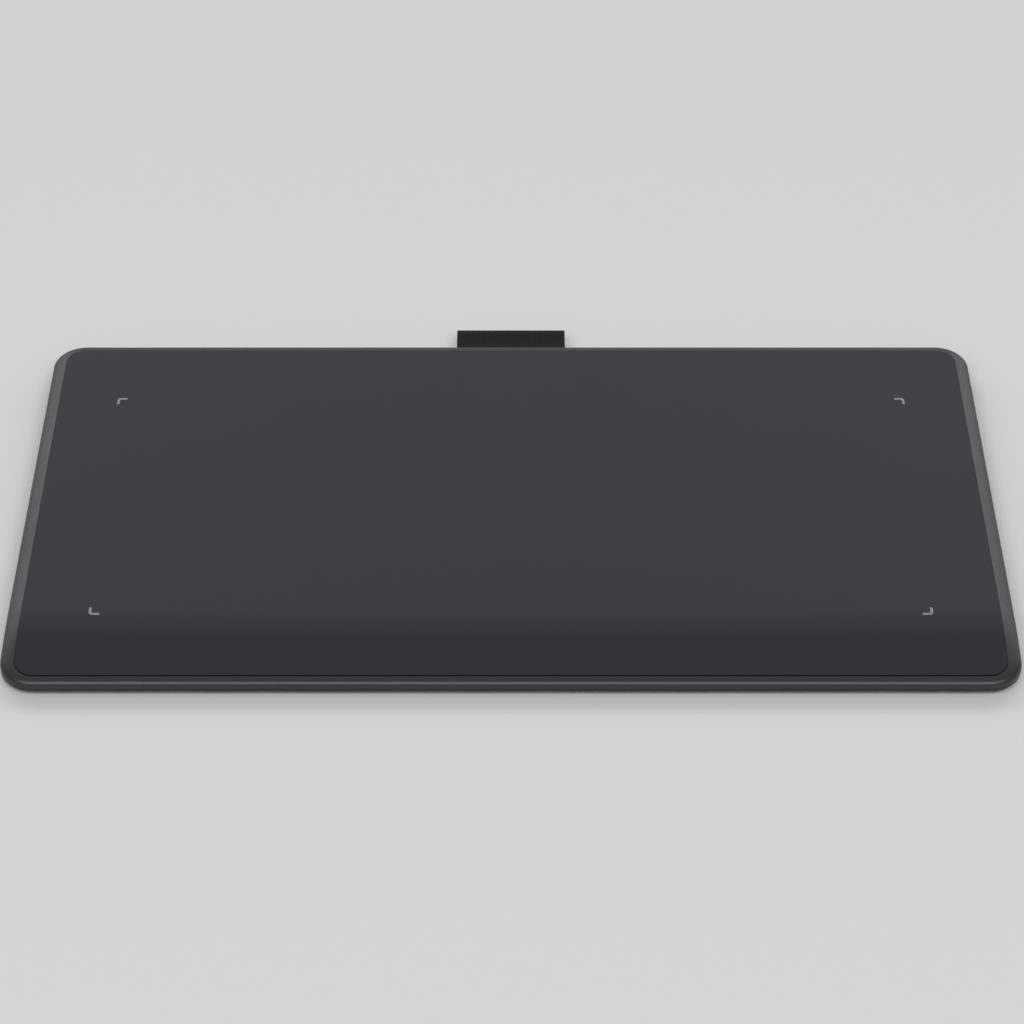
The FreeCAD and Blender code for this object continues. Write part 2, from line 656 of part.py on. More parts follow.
def belly_is_wide(body):
    """Whether the bevel runs along the underside and not up the wall."""
    low = [f for f in body.Shape.Faces if abs(f.BoundBox.ZMax - value("foot_reach")) < 1e-4]
    return bool(low) and abs(low[0].BoundBox.XLength - value("body_width - 2*belly_width")) < 0.01


def add_ribs(body):
    """Ribs that carry the sensor board and fence in the battery."""
    rise = SHIELD_UNDER + " - (%s)" % FLOOR_TOP
    reach = "body_width - 2*area_side - 2*shield_margin"
    sketch = sketch_on(body, z=FLOOR_TOP)
    draw_box(sketch, reach, "rib_thickness", "0", "battery_shift - battery_depth/2 - 1 - rib_thickness/2")
    pad(body, sketch, rise)
    sketch = sketch_on(body, z=FLOOR_TOP)
    draw_box(sketch, reach, "rib_thickness", "0", "battery_shift - battery_depth/2 - 1 - rib_pitch")
    pad(body, sketch, rise)
    for side in ("-", ""):
        sketch = sketch_on(body, z=FLOOR_TOP)
        for step in range(3):
            place = "%s(battery_width/2 + 2 + rib_thickness/2 + %d*rib_pitch)" % (side, step)
            draw_box(sketch, "rib_thickness", "battery_depth + 1 - 4", place, "battery_shift + 1.5")
        pad(body, sketch, rise)


def make_drawing_surface():
    """Matt sheet that lies in the recess and follows the sweep."""
    face = face_profile()
    floor = face.lowered(value("sheet_thickness"))
    gaps = value("sheet_gap"), value("crease_gap")
    upper, lower = face_edge(face, *gaps), face_edge(floor, *gaps)
    piece = doc.addObject("Part::Feature", "sheet_form")
    piece.Shape = closed(lid(upper) + between(upper, lower) + lid(lower))
    return finish(piece, "drawing_surface")


def make_sensor_stack():
    """Adhesive sheet, sensor board and metal shield, one under the other in the pocket."""
    body = plate("sensor_tape", SENSOR_WIDTH + " - 2", SENSOR_DEPTH + " - 2", "1", "tape_thickness",
                 "0", AREA_SHIFT, SENSOR_TOP)
    finish(body, "sensor_tape")
    body = plate("sensor_board", SENSOR_WIDTH, SENSOR_DEPTH, "1", "sensor_thickness",
                 "0", AREA_SHIFT, SENSOR_TOP + " - sensor_thickness")
    sketch = sketch_on(body, z=SENSOR_TOP + " - sensor_thickness",
                       x=RIBBON_X, y="(area_front - area_back)/2 + (%s)/2 + 2" % SENSOR_DEPTH)
    draw_box(sketch, "ribbon_width + 6", "5")
    pad(body, sketch, "sensor_thickness")
    finish(body, "sensor_board")
    body = plate("shield_sheet", SENSOR_WIDTH + " - 2*shield_margin", SENSOR_DEPTH + " - 2*shield_margin",
                 "1", "shield_thickness", "0", AREA_SHIFT, SHIELD_UNDER)
    finish(body, "shield_sheet")


def make_feet():
    """Four rubber feet with rounded ends and bevelled lower edges."""
    feet = []
    for x in ("foot_side - body_width/2", "body_width/2 - foot_side"):
        for y in ("foot_end - body_depth/2", "body_depth/2 - foot_end"):
            body = new_body("foot")
            sketch = sketch_on(body, x=x, y=y)
            draw_rounded(sketch, "foot_length", "foot_width", "foot_width/2 - 0.01")
            pad(body, sketch, "foot_reach + foot_recess")
            bevel_off(body, "foot_recess", lambda p, t: abs(p.z) < 1e-6)
            feet.append(body)
    return group(feet, "rubber_feet")


def group(bodies, label):
    """Equal pieces under one name."""
    whole = doc.addObject("Part::Compound", label + "_group")
    whole.Links = bodies
    doc.recompute()
    return finish(whole, label)


def screw(name, x, y, seat, head_width, head_tall, shank_width, shank_long, up):
    """A cross-recessed screw whose head seats at height seat; up says which way the shank points."""
    body = new_body(name)
    sketch = sketch_on(body, x=x, y=y, z=seat)
    draw_circles(sketch, [("0", "0")], head_width)
    pad(body, sketch, head_tall, down=up)
    far = value(seat) + value(head_tall) * (-1 if up else 1)
    bevel_off(body, head_tall + "/3", lambda p, t: abs(p.z - far) < 1e-6)
    sketch = sketch_on(body, x=x, y=y, z=seat)
    draw_circles(sketch, [("0", "0")], shank_width)
    pad(body, sketch, shank_long, down=not up)
    for width, depth in (("%s/2" % head_width, "%s/9" % head_width), ("%s/9" % head_width, "%s/2" % head_width)):
        sketch = sketch_on(body, x=x, y=y, z="%s %s %s" % (seat, "-" if up else "+", head_tall))
        draw_box(sketch, width, depth)
        pocket(body, sketch, head_tall + "/2", up=up)
    return body


def make_screws():
    """Case screws from below, board screws and clamp screws from above."""
    for label, places, shank in (("long_screws", LONG_SCREWS, "long_shank"),
                                 ("short_screws", SHORT_SCREWS, "short_shank")):
        group([screw(label, x, y, "screw_seat", "screw_head", "head_height", "screw_diameter", shank, True)
               for x, y in places], label)
    group([screw("board_screws", x, y, BOARD_TOP, "board_head", "board_head/4", "board_screw", "1.9", False)
           for x, y in BOARD_SCREWS], "board_screws")
    top = TAG_UNDER + " + tag_thickness + clamp_thickness"
    group([screw("clamp_screws", x, y, top, "board_head", "board_head/7", "board_screw", "3.4", False)
           for x, y in CLAMP_SCREWS], "clamp_screws")


def make_main_board():
    """Controller board along the back wall, cut away under the socket."""
    body = plate("main_board", BOARD_WIDTH, "board_depth", "1", "board_thickness",
                 "(%s + %s + 3.9)/2" % (BOARD_LEFT, HEADER_X),
                 BOARD_BACK + " - board_depth/2", "board_height")
    sketch = sketch_on(body, z="board_height")
    draw_circles(sketch, BOARD_SCREWS, "board_screw + 2*screw_clearance")
    pocket(body, sketch, "board_thickness", up=True)
    sketch = sketch_on(body, x=SOCKET_X, y="body_depth/2 - socket_setback - socket_length/2",
                       z="board_height")
    draw_box(sketch, "socket_width + 0.3", "socket_length + 0.3")
    pocket(body, sketch, "board_thickness", up=True)
    finish(body, "main_board")


def on_board(label, width, depth, thickness, x, y, radius="0.2"):
    """A part soldered flat on the main board."""
    return plate(label, width, depth, radius, thickness, x, y, BOARD_TOP)


def make_board_parts():
    """Chips, coil, crystal and the radio module with its can."""
    row = BOARD_BACK + " - board_depth + "
    finish(on_board("controller_chip", "7", "7", "0.9", BOARD_LEFT + " + 30", row + "5.6", "0.3"), "controller_chip")
    finish(on_board("power_chip", "4", "4", "0.9", BOARD_LEFT + " + 8.5", row + "3.4", "0.2"), "power_chip")
    finish(on_board("inductor", "4", "4", "1.6", BOARD_LEFT + " + 15", row + "3.4", "0.8"), "inductor")
    finish(on_board("crystal", "3.2", "2.5", "0.7", BOARD_LEFT + " + 36.5", row + "9", "0.4"), "crystal")
    finish(on_board("wireless_module", "module_width", "9.4", "0.8", MODULE_X, row + "4.9", "0.2"), "wireless_module")
    can = plate("module_can", "8", "8", "0.5", "1.2", MODULE_X + " - 1.5", row + "4.9", BOARD_TOP + " + 0.8")
    top = value(BOARD_TOP + " + 2")
    bevel_off(can, "0.2", lambda p, t: abs(p.z - top) < 1e-6)
    finish(can, "module_can")


def make_socket():
    """Charging and data socket: drawn metal shell round an insulating tongue."""
    mouth = "-(body_depth/2 - socket_setback)"
    body = new_body("socket_shell")
    sketch = sketch_on(body, "XZ_Plane", SOCKET_X, "socket_height", mouth)
    draw_rounded(sketch, "socket_width", "socket_tall", "socket_tall/2 - 0.01")
    pad(body, sketch, "socket_length")
    sketch = sketch_on(body, "XZ_Plane", SOCKET_X, "socket_height", mouth)
    draw_rounded(sketch, "socket_width - 2*socket_metal", "socket_tall - 2*socket_metal",
                 "socket_tall/2 - socket_metal - 0.01")
    pocket(body, sketch, "socket_length - socket_metal", up=True)
    finish(body, "socket_shell")

    body = new_body("socket_tongue")
    floor = "-(body_depth/2 - socket_setback - socket_length + socket_metal)"
    sketch = sketch_on(body, "XZ_Plane", SOCKET_X, "socket_height", floor)
    draw_rounded(sketch, "socket_width - 2*socket_metal - 0.1", "socket_tall - 2*socket_metal - 0.1",
                 "socket_tall/2 - socket_metal - 0.06")
    pad(body, sketch, "1.6", down=True)
    sketch = sketch_on(body, "XZ_Plane", SOCKET_X, "socket_height", floor)
    draw_rounded(sketch, "6.7", "0.7", "0.2")
    pad(body, sketch, "socket_length - socket_metal - 0.6", down=True)
    finish(body, "socket_tongue")


def make_button():
    """Cap, flange and stem in one moulding; it slides in the back wall."""
    body = new_body("power_button")
    flange_back = WALL_INSIDE + " - 0.1 - flange_thickness"
    sketch = sketch_on(body, "XZ_Plane", BUTTON_X, "control_height", "-(%s)" % flange_back)
    draw_rounded(sketch, "button_width", "button_tall", "button_tall/2 - 0.01")
    pad(body, sketch, "body_depth/2 + button_proud - (%s)" % flange_back, down=True)
    front = value("body_depth/2 + button_proud")
    bevel_off(body, "button_proud*0.6", lambda p, t: abs(p.y - front) < 1e-6)
    sketch = sketch_on(body, "XZ_Plane", BUTTON_X, "control_height", "-(%s)" % flange_back)
    draw_rounded(sketch, "button_width + 2*button_flange", "button_tall + 0.4", "0.5")
    pad(body, sketch, "flange_thickness", down=True)
    sketch = sketch_on(body, "XZ_Plane", BUTTON_X, "control_height", "-(%s)" % flange_back)
    draw_rounded(sketch, "plunger_width + 1", "plunger_tall + 0.6", "0.3")
    pad(body, sketch, flange_back + " - (%s)" % STEM_END)
    finish(body, "power_button")


SWITCH_FRONT = "body_depth/2 - 3.9"
PLUNGER_END = SWITCH_FRONT + " + plunger_reach"
STEM_END = PLUNGER_END + " + 0.05"


def make_switch():
    """Side-push tactile switch on the main board, with a separate plunger."""
    body = plate("switch_body", "switch_width", "switch_length", "0.2", "switch_tall", BUTTON_X,
                 SWITCH_FRONT + " - switch_length/2", BOARD_TOP)
    sketch = sketch_on(body, "XZ_Plane", BUTTON_X, "control_height", "-(%s) + 1.2" % SWITCH_FRONT)
    draw_box(sketch, "plunger_width + 0.1", "plunger_tall + 0.1")
    pocket(body, sketch, "2")
    finish(body, "switch_body")
    body = new_body("switch_plunger")
    sketch = sketch_on(body, "XZ_Plane", BUTTON_X, "control_height", "-(%s)" % PLUNGER_END)
    draw_rounded(sketch, "plunger_width", "plunger_tall", "0.2")
    pad(body, sketch, "plunger_reach + 0.8")
    finish(body, "switch_plunger")


def make_light():
    """Side-facing lamp on the board and the clear guide that leads it through the wall."""
    body = plate("status_led", "2.2", "1", "0.15", "1.6", LIGHT_X, "body_depth/2 - 3.9", BOARD_TOP)
    finish(body, "status_led")
    body = new_body("light_guide")
    sketch = sketch_on(body, "XZ_Plane", LIGHT_X, "control_height", "-(body_depth/2)")
    draw_circles(sketch, [("0", "0")], "light_diameter")
    pad(body, sketch, "3.2")
    sketch = sketch_on(body, "XZ_Plane", LIGHT_X, "control_height", "-(%s - 0.1)" % WALL_INSIDE)
    draw_circles(sketch, [("0", "0")], "light_diameter + 0.8")
    pad(body, sketch, "0.6")
    finish(body, "light_guide")


def make_battery():
    """Flat pouch with a folded ledge at its lead end, on an adhesive sheet."""
    body = plate("battery_tape", "battery_width - 8", "battery_depth - 8", "2", "tape_thickness",
                 "0", "battery_shift", FLOOR_TOP)
    finish(body, "battery_tape")
    body = plate("battery", "battery_width", "battery_depth", "2", "battery_thickness", "0",
                 "battery_shift", FLOOR_TOP + " + tape_thickness")
    low, high = value(FLOOR_TOP + " + tape_thickness"), value(FLOOR_TOP + " + tape_thickness + battery_thickness")
    bevel_off(body, "battery_thickness/4", lambda p, t: abs(p.z - low) < 1e-6 or abs(p.z - high) < 1e-6)
    sketch = sketch_on(body, x="0", y="battery_shift + battery_depth/2 + 1",
                       z=FLOOR_TOP + " + tape_thickness + 0.5")
    draw_box(sketch, "battery_width - 12", "4")
    pad(body, sketch, "0.8")
    finish(body, "battery")


def tube(points, radius, width):
    """A round lead along straight runs joined by tangent arcs."""
    edges = []
    here = points[0]
    for i in range(1, len(points) - 1):
        into = (points[i] - points[i - 1]).normalize()
        out = (points[i + 1] - points[i]).normalize()
        turn = into.getAngle(out)
        back = radius * tan(turn / 2)
        a, b = points[i] - into * back, points[i] + out * back
        to_middle = (out - into).normalize()
        middle = points[i] + to_middle * (radius / cos(turn / 2) - radius)
        edges.append(Part.LineSegment(here, a).toShape())
        edges.append(Part.Arc(a, middle, b).toShape())
        here = b
    edges.append(Part.LineSegment(here, points[-1]).toShape())
    path = Part.Wire(edges)
    start = (points[1] - points[0]).normalize()
    ring_ = Part.Wire([Part.Circle(points[0], start, width / 2).toShape()])
    return path.makePipeShell([ring_], True, True)


def make_leads():
    """Two leads from the battery's ledge to a small plug in its header on the board."""
    header_x, header_y = HEADER_X, BOARD_BACK + " - board_depth + 2.6"
    finish(on_board("battery_header", "5.6", "4.4", "1.4", header_x, header_y, "0.2"), "battery_header")
    finish(plate("battery_plug", "4.8", "3.6", "0.3", "1.4", header_x, header_y, BOARD_TOP + " + 1.4"),
           "battery_plug")
    width = value("lead_diameter")
    plug_y = value(header_y + " - 1.8")
    plug_z = value(BOARD_TOP + " + 1.4 + 0.7")
    ledge_y = value("battery_shift + battery_depth/2 + 3")
    ledge_z = value(FLOOR_TOP + " + tape_thickness + 0.9")
    leads = []
    for side in (-1, 1):
        x = value(header_x) + side * 0.9
        start_x = value("9 - battery_width/2") + side * 0.9
        points = [Vector(start_x, ledge_y, ledge_z), Vector(start_x, ledge_y + 4 - 0.8 * side, ledge_z),
                  Vector(x, plug_y - 3, plug_z), Vector(x, plug_y, plug_z)]
        leads.append(tube(points, 1.4, width))
    piece = doc.addObject("Part::Feature", "leads_form")
    piece.Shape = Part.makeCompound(leads)
    finish(piece, "battery_leads")


def make_ribbon():
    """Flat cable between a connector under the sensor board and one on the main board."""
    sensor_back = "(area_front - area_back)/2 + (%s)/2" % SENSOR_DEPTH
    low = SENSOR_TOP + " - sensor_thickness - connector_tall"
    body = plate("sensor_connector", "ribbon_width + 3", "connector_depth", "0.2", "connector_tall",
                 RIBBON_X, sensor_back + " + 3", low)
    sketch = sketch_on(body, "XZ_Plane", RIBBON_X, low + " + connector_tall/2",
                       "-(%s + 3 + connector_depth/2)" % sensor_back)
    draw_box(sketch, "ribbon_width + 0.2", "ribbon_thickness + 0.1")
    pocket(body, sketch, "connector_depth/2", up=True)
    finish(body, "sensor_connector")
    board_front = BOARD_BACK + " - board_depth"
    body = plate("board_connector", "ribbon_width + 3", "connector_depth", "0.2", "connector_tall",
                 RIBBON_X, board_front + " + 0.3 + connector_depth/2", BOARD_TOP)
    sketch = sketch_on(body, "XZ_Plane", RIBBON_X, BOARD_TOP + " + connector_tall/2",
                       "-(%s + 0.3)" % board_front)
    draw_box(sketch, "ribbon_width + 0.2", "ribbon_thickness + 0.1")
    pocket(body, sketch, "connector_depth/2")
    finish(body, "board_connector")

    start = value(sensor_back + " + 3.1")
    leave = value(sensor_back + " + 3 + connector_depth/2")
    enter = value(board_front + " + 0.3")
    stop = value(board_front + " + 0.2 + connector_depth/2")
    high, foot = value(low + " + connector_tall/2"), value(BOARD_TOP + " + connector_tall/2")
    half, wide = value("ribbon_thickness/2"), value("ribbon_width")
    edges = []
    for offset in (half, -half):
        points = [Vector(0, start, high + offset), Vector(0, leave, high + offset)]
        for step in range(1, 8):
            share = step / 8.0
            fall = share * share * (3 - 2 * share)
            points.append(Vector(0, leave + (enter - leave) * share, high + (foot - high) * fall + offset))
        points += [Vector(0, enter, foot + offset), Vector(0, stop, foot + offset)]
        curve = Part.BSplineCurve()
        curve.interpolate(points)
        edges.append(curve.toShape())
    piece = doc.addObject("Part::Feature", "ribbon_form")
    strip = Part.makeRuledSurface(edges[0], edges[1])
    strip.translate(Vector(value(RIBBON_X) - wide / 2, 0, 0))
    piece.Shape = strip.extrude(Vector(wide, 0, 0))
    finish(piece, "ribbon_cable")


def make_tag():
    """Folded ribbon in its slot, and the bar that holds its two ends down."""
    body = new_body("tag")
    sketch = sketch_on(body, y="(body_depth/2 + tag_reach + (%s) - tag_grip/2)/2" % GRIP_MIDDLE, z=TAG_UNDER)
    draw_box(sketch, "tag_width", "body_depth/2 + tag_reach - (%s) + tag_grip/2" % GRIP_MIDDLE)
    pad(body, sketch, "tag_thickness")
    end = value("body_depth/2 + tag_reach")
    round_off(body, "tag_thickness/2 - 0.05", lambda p, t: abs(p.y - end) < 1e-6 and abs(t.x) > 0.9)
    finish(body, "tag")
    body = plate("tag_clamp", "tag_width + 12", "tag_grip", "1", "clamp_thickness", "0", GRIP_MIDDLE,
                 TAG_UNDER + " + tag_thickness")
    sketch = sketch_on(body, z=TAG_UNDER + " + tag_thickness")
    draw_circles(sketch, CLAMP_SCREWS, "board_screw + 2*screw_clearance")
    pocket(body, sketch, "clamp_thickness", up=True)
    finish(body, "tag_clamp")


make_top_case()
make_drawing_surface()
make_bottom_case()
make_sensor_stack()
make_feet()
make_screws()
make_main_board()
make_board_parts()
make_socket()
make_button()
make_switch()
make_light()
make_battery()
make_leads()
make_ribbon()
make_tag()
doc.recompute()
for thing in doc.Objects:
    if "Invalid" in thing.State or "Error" in thing.State:
        raise RuntimeError("%s is not built: %s" % (thing.Name, thing.State))
for piece in PIECES:
    if piece.Shape.isNull() or not piece.Shape.isValid():
        raise RuntimeError("%s has no valid shape" % piece.Label)
os.makedirs("parts", exist_ok=True)
for piece in PIECES:
    piece.Shape.exportStep("parts/%s.step" % piece.Label)
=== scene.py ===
import bpy
import math
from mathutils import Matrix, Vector


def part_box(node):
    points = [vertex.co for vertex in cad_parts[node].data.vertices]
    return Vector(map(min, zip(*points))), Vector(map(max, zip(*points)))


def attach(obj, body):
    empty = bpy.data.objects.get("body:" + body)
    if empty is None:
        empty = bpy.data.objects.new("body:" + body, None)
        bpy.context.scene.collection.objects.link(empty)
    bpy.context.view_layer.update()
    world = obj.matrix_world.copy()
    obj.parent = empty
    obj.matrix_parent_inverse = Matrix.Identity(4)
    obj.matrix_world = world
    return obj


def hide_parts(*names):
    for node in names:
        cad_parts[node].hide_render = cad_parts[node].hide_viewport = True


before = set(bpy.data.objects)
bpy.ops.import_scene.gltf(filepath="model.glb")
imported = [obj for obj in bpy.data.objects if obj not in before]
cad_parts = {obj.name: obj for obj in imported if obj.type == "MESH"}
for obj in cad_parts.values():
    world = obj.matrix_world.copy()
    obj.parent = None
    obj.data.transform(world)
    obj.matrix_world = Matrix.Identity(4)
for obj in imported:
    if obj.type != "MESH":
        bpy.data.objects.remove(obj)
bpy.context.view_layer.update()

# Upper shell: one injection moulding of dark plastic with a bevelled rim that follows the sweep of
# the drawing face, closed on the lower shell with a tongue and screws. Its mould is spark-eroded,
# which gives the plastic a fine satin grain of slightly uneven gloss.
MM = 0.001
MERGE_WITHIN = 0.002 * MM


def only(piece):
    """Selects one piece and makes it the active one."""
    bpy.ops.object.select_all(action="DESELECT")
    piece.select_set(True)
    bpy.context.view_layer.objects.active = piece


def apply_modifier(piece, modifier):
    """Works a modifier into its piece's mesh."""
    only(piece)
    bpy.ops.object.modifier_apply(modifier=modifier.name)


def soften(piece, degrees=32):
    """Smooth shading over the rounded parts, crisp where faces meet at a real edge."""
    only(piece)
    bpy.ops.object.shade_smooth_by_angle(angle=math.radians(degrees))
    normals = piece.modifiers.new("face normals", "WEIGHTED_NORMAL")
    normals.keep_sharp = True
    normals.weight = 100
    apply_modifier(piece, normals)


def coat(piece, finish):
    """Gives a piece one finish all over."""
    piece.data.materials.clear()
    piece.data.materials.append(finish)


def moulded(node, name, body, finish):
    """A moulding's own mesh in its finish, merged so that its rounded faces shade as one."""
    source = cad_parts[node]
    piece = source.copy()
    piece.data = source.data.copy()
    piece.name = name
    piece.parent = None
    piece.matrix_world.identity()
    bpy.context.collection.objects.link(piece)
    coat(piece, finish)
    only(piece)
    bpy.ops.object.mode_set(mode="EDIT")
    bpy.ops.mesh.select_all(action="SELECT")
    bpy.ops.mesh.remove_doubles(threshold=MERGE_WITHIN)
    bpy.ops.object.mode_set(mode="OBJECT")
    if piece.data.has_custom_normals:
        bpy.ops.mesh.customdata_custom_splitnormals_clear()
    soften(piece)
    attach(piece, body)
    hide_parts(node)


def grained_finish(name, color, roughness, grain, depth, mottle=0.1, metallic=0.0, specular=0.5,
                   wear=0.04):
    """A finish with mottled colour, uneven gloss and a fine grain. The grain's size and depth are in
    mm, mottle is a share of the colour, and wear is how far the roughness strays either way."""
    patches_per_metre = 60
    noise_low, noise_high = 0.3, 0.7
    grain_share = 0.45
    finish = bpy.data.materials.new(name)
    finish.use_nodes = True
    tree = finish.node_tree
    shader = tree.nodes["Principled BSDF"]
    shader.inputs["Metallic"].default_value = metallic
    shader.inputs["Specular IOR Level"].default_value = specular
    place = tree.nodes.new("ShaderNodeTexCoord")
    cloud = tree.nodes.new("ShaderNodeTexNoise")
    cloud.inputs["Scale"].default_value = patches_per_metre
    cloud.inputs["Detail"].default_value = 3
    grains = tree.nodes.new("ShaderNodeTexNoise")
    grains.inputs["Scale"].default_value = 1 / (grain * MM)
    grains.inputs["Detail"].default_value = 2
    tree.links.new(place.outputs["Object"], cloud.inputs["Vector"])
    tree.links.new(place.outputs["Object"], grains.inputs["Vector"])
    cloud_part = tree.nodes.new("ShaderNodeMath")
    cloud_part.operation = "MULTIPLY"
    cloud_part.inputs[1].default_value = 1 - grain_share
    tree.links.new(cloud.outputs["Fac"], cloud_part.inputs[0])
    both = tree.nodes.new("ShaderNodeMath")
    both.operation = "MULTIPLY_ADD"
    both.inputs[1].default_value = grain_share
    tree.links.new(grains.outputs["Fac"], both.inputs[0])
    tree.links.new(cloud_part.outputs["Value"], both.inputs[2])
    shade = tree.nodes.new("ShaderNodeValToRGB")
    shade.color_ramp.elements[0].position = noise_low
    shade.color_ramp.elements[1].position = noise_high
    shade.color_ramp.elements[0].color = (*[c * (1 - mottle) for c in color], 1)
    shade.color_ramp.elements[1].color = (*[c * (1 + mottle) for c in color], 1)
    tree.links.new(both.outputs["Value"], shade.inputs["Fac"])
    tree.links.new(shade.outputs["Color"], shader.inputs["Base Color"])
    gloss = tree.nodes.new("ShaderNodeMapRange")
    gloss.inputs["From Min"].default_value = noise_low
    gloss.inputs["From Max"].default_value = noise_high
    gloss.inputs["To Min"].default_value = roughness - wear
    gloss.inputs["To Max"].default_value = roughness + wear
    tree.links.new(cloud.outputs["Fac"], gloss.inputs["Value"])
    tree.links.new(gloss.outputs["Result"], shader.inputs["Roughness"])
    bump = tree.nodes.new("ShaderNodeBump")
    bump.inputs["Distance"].default_value = depth * MM
    bump.inputs["Strength"].default_value = 0.6
    tree.links.new(grains.outputs["Fac"], bump.inputs["Height"])
    tree.links.new(bump.outputs["Normal"], shader.inputs["Normal"])
    return finish


case_finish = grained_finish("satin case plastic", (0.0165, 0.017, 0.018), roughness=0.4, grain=0.35,
                             depth=0.004, mottle=0.05, specular=0.7, wear=0.015)
moulded("top_case", "upper_shell", "case", case_finish)

# Drawing sheet: a matt, paper-like film, die-cut with round corners and laid in the recess of the
# upper shell, where it follows the sweep at the front and ends a little short of the lip. Its top
# has a very fine tooth for the nib.
low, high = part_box("drawing_surface")
FACE_TOP = high.z
SHEET_THICK = 0.4 * MM
SHEET_CORNER = 5.79 * MM
CORNER_CUTS = 10
CUT_EDGE = 0.07 * MM
FRONT_GAP = 0.15 * MM
FACE_DROP = 2.8 * MM
SWEEP_DEPTH = 28 * MM
BEND_LENGTH = 12 * MM
BEND_CUTS = 24
LIP_DEPTH = 3.7 * MM
SLOPE_RUN = SWEEP_DEPTH - BEND_LENGTH - LIP_DEPTH
SWEEP_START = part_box("top_case")[0].y + SWEEP_DEPTH

# The bend drops by its length times the tangent of half the slope's angle, and the slope by its run
# times the tangent of the whole angle. A few rounds find the half angle that adds up to the drop.
half_tangent = 0.0
for step in range(13):
    half_tangent = FACE_DROP / (BEND_LENGTH + 2 * SLOPE_RUN / (1 - half_tangent ** 2))
SLOPE_ANGLE = 2 * math.atan(half_tangent)
BEND_RADIUS = BEND_LENGTH / math.sin(SLOPE_ANGLE)


def sweep_drop(y):
    """How far the face has fallen at y: level, then a bend, then a straight slope."""
    into = SWEEP_START - y
    if into <= 0:
        return 0.0
    if into <= BEND_LENGTH:
        return BEND_RADIUS - math.sqrt(BEND_RADIUS ** 2 - into ** 2)
    return BEND_RADIUS * (1 - math.cos(SLOPE_ANGLE)) + (into - BEND_LENGTH) * math.tan(SLOPE_ANGLE)


def flat_piece(name, width, front, back):
    """A level rectangle at the height of the face, between its front and back edges."""
    bpy.ops.object.select_all(action="DESELECT")
    bpy.ops.mesh.primitive_plane_add(size=1, location=(0, (front + back) / 2, FACE_TOP))
    piece = bpy.context.object
    piece.name = name
    piece.scale = (width, back - front, 1)
    bpy.ops.object.transform_apply(location=True, rotation=True, scale=True)
    return piece


def cut_across(y):
    """A cut through the whole piece, from side to side."""
    bpy.ops.mesh.select_all(action="SELECT")
    bpy.ops.mesh.bisect(plane_co=(0, y, 0), plane_no=(0, 1, 0))


def follow_sweep(piece, lift=0.0):
    """Lets a level piece fall with the face, and lifts it off the face."""
    for vertex in piece.data.vertices:
        vertex.co.z += lift - sweep_drop(vertex.co.y)


sheet = flat_piece("drawing_sheet", high.x - low.x, low.y + FRONT_GAP, high.y)
bpy.ops.object.mode_set(mode="EDIT")
bpy.ops.mesh.select_all(action="SELECT")
bpy.ops.mesh.bevel(offset=SHEET_CORNER, segments=CORNER_CUTS, affect="VERTICES")
for cut in range(BEND_CUTS + 1):
    cut_across(SWEEP_START - BEND_LENGTH * cut / BEND_CUTS)
bpy.ops.mesh.select_all(action="SELECT")
bpy.ops.mesh.extrude_region_move(TRANSFORM_OT_translate={"value": (0, 0, -SHEET_THICK)})
bpy.ops.mesh.select_all(action="SELECT")
bpy.ops.mesh.normals_make_consistent(inside=False)
bpy.ops.object.mode_set(mode="OBJECT")
follow_sweep(sheet)
cut_edge = sheet.modifiers.new("cut edge", "BEVEL")
cut_edge.width = CUT_EDGE
cut_edge.segments = 2
cut_edge.limit_method = "ANGLE"
cut_edge.angle_limit = math.radians(50)
apply_modifier(sheet, cut_edge)
soften(sheet)
coat(sheet, grained_finish("matt drawing film", (0.0101, 0.0110, 0.0141), roughness=0.5, grain=0.28,
                           depth=0.002, mottle=0.03, specular=0.4, wear=0.004))
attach(sheet, "case")
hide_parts("drawing_surface")

# Corner marks: four small corners of light grey ink, screen-printed on the sheet to show the
# working area, a little closer together at the front. The ink is about 0.02 mm thick.
MARK_LINE = 0.82 * MM
MARK_ARM = 3.2 * MM
MARK_ROUND = 1.2 * MM
ROUND_CUTS = 6
ARM_CUTS = 8
MARK_BACK = Vector((126.95, 44.6, 0)) * MM
MARK_FRONT = Vector((125.5, -59.7, 0)) * MM
INK_TOP = 0.02 * MM
INK_THICK = 0.018 * MM
marks = flat_piece("corner_marks", 2 * MARK_BACK.x, MARK_FRONT.y, MARK_BACK.y)
bpy.ops.object.mode_set(mode="EDIT")
bpy.ops.mesh.select_mode(type="VERT")
bpy.ops.mesh.select_all(action="DESELECT")
bpy.ops.object.mode_set(mode="OBJECT")
for vertex in marks.data.vertices:
    vertex.select = vertex.co.y < 0
bpy.ops.object.mode_set(mode="EDIT")
bpy.ops.transform.resize(value=(MARK_FRONT.x / MARK_BACK.x, 1, 1))
bpy.ops.mesh.select_all(action="SELECT")
bpy.ops.mesh.bevel(offset=MARK_ROUND, segments=ROUND_CUTS, affect="VERTICES")
bpy.ops.mesh.select_mode(type="FACE")
bpy.ops.mesh.select_all(action="SELECT")
bpy.ops.mesh.inset(thickness=MARK_LINE, depth=0)
bpy.ops.mesh.delete(type="FACE")
for side in (-1, 1):
    for corner, inward in ((MARK_BACK, -1), (MARK_FRONT, 1)):
        bpy.ops.mesh.select_all(action="SELECT")
        bpy.ops.mesh.bisect(plane_co=(side * (corner.x - MARK_ARM), 0, 0), plane_no=(1, 0, 0))
        cut_across(corner.y + inward * MARK_ARM)
bpy.ops.mesh.select_all(action="DESELECT")
bpy.ops.object.mode_set(mode="OBJECT")
